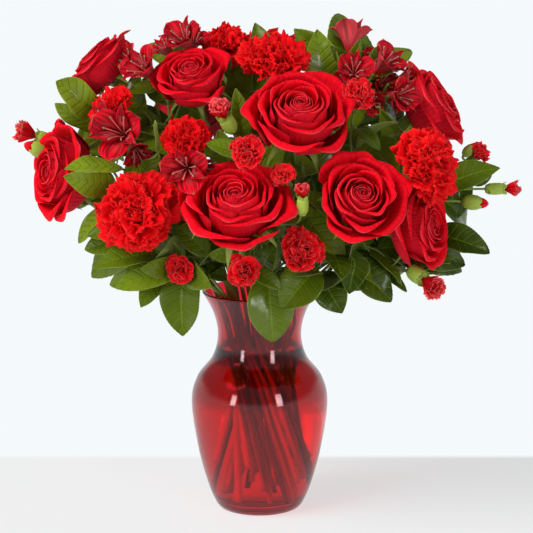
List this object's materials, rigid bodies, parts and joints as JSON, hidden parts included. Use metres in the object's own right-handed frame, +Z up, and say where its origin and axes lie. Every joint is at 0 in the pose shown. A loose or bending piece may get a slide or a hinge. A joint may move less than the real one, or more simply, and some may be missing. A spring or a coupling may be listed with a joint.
{
  "type": "mixed red bouquet in a glass vase",
  "caption": "Red roses, carnations, spray carnations and lily-like blooms with broad green leaves, standing in water in a waisted red glass vase.",
  "frame": {"origin": "centre of the vase's underside, on the surface it stands on", "axes": "+Z up along the vase; the bouquet's front faces -Y; +X to the right as seen from the front"},
  "size_m": [0.452, 0.2997, 0.4535],
  "materials": {
    "red_glass": "polished coloured glass",
    "water": "clear water",
    "rose_red": "velvety petals",
    "carnation_red": "thin ruffled petals",
    "spray_red": "thin petals with pale edges",
    "lily_red": "satin petals with dark streaks",
    "stem_green": "smooth green stem",
    "leaf_green": "glossy leaf"
  },
  "bodies": {
    "root": {"vase": "red_glass", "water": "water", "rose_centre_low": "rose_red", "rose_centre_high": "rose_red", "rose_right_front": "rose_red", "rose_left_high": "rose_red", "rose_right_low": "rose_red", "rose_right_high": "rose_red", "rose_left": "rose_red", "rose_left_top": "rose_red", "rose_back_left": "rose_red", "rose_back_right": "rose_red", "carnation_left_low": "carnation_red", "carnation_top_left": "carnation_red", "carnation_top": "carnation_red", "carnation_right": "carnation_red", "carnation_mid_left": "carnation_red", "carnation_left_high": "carnation_red", "carnation_back": "carnation_red", "spray_bloom_1": "spray_red", "spray_bloom_2": "spray_red", "spray_bloom_3": "spray_red", "spray_bloom_4": "spray_red", "spray_bloom_5": "spray_red", "spray_bloom_6": "spray_red", "spray_bloom_7": "spray_red", "spray_bloom_8": "spray_red", "spray_bloom_9": "spray_red", "spray_bloom_10": "spray_red", "spray_bloom_11": "spray_red", "spray_bloom_12": "spray_red", "lily_top_left": "lily_red", "lily_left_high": "lily_red", "lily_left": "lily_red", "lily_mid_left": "lily_red", "lily_top_right": "lily_red", "lily_right_high": "lily_red", "lily_right": "lily_red", "lily_right_low": "lily_red", "rose_stems_front": "stem_green", "rose_stems_left": "stem_green", "rose_stems_right": "stem_green", "rose_stems_back": "stem_green", "carnation_stems_left": "stem_green", "carnation_stems_right": "stem_green", "carnation_stems_back": "stem_green", "spray_stem_left": "stem_green", "spray_stem_centre": "stem_green", "spray_stem_right": "stem_green", "lily_stem_left": "stem_green", "lily_stem_centre": "stem_green", "lily_stem_right": "stem_green", "leaves_left_high": "leaf_green", "leaves_left": "leaf_green", "leaves_left_low": "leaf_green", "leaves_front": "leaf_green", "leaves_right_low": "leaf_green", "leaves_right": "leaf_green", "leaves_top": "leaf_green", "leaves_back": "leaf_green"}
  },
  "joints": []
}
